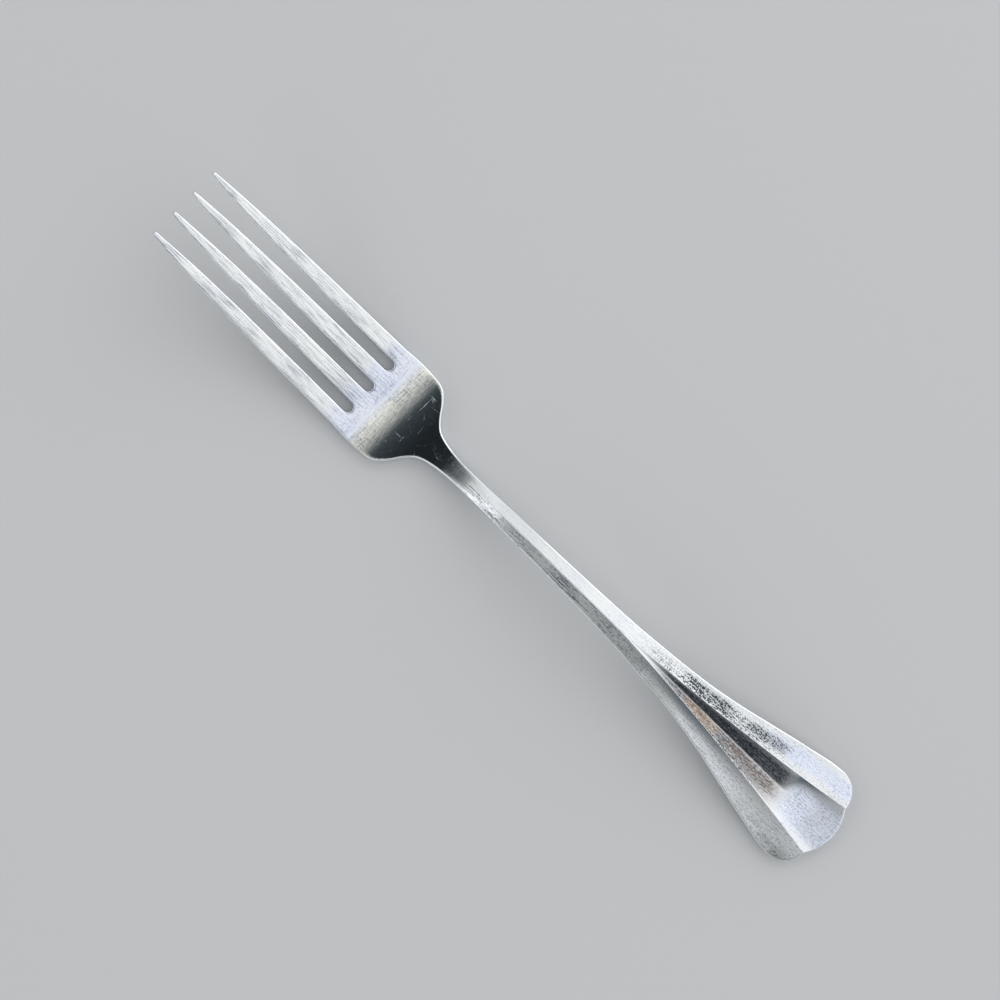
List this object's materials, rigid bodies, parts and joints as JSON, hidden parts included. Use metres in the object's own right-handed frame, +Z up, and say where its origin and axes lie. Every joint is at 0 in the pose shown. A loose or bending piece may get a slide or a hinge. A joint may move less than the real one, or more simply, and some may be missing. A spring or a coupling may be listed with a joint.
{
  "type": "dinner fork",
  "caption": "Metal dinner fork with long curved tines, round shoulders, a ridged handle and a fluted fan-shaped end, lying face up.",
  "frame": {"origin": "centre of the fork's bounding box in X and Y, on the table that it lies on (Z = 0)", "axes": "+Y along the fork towards the tips of the tines, -Y towards the fan end of the handle, +Z up out of the face of the fork, X across it"},
  "size_m": [0.0256, 0.2028, 0.0214],
  "materials": {
    "silver_plate": "worn, finely scratched silver plate, tarnished in the valley of the fan"
  },
  "bodies": {
    "root": {"fork": "silver_plate"}
  },
  "joints": []
}
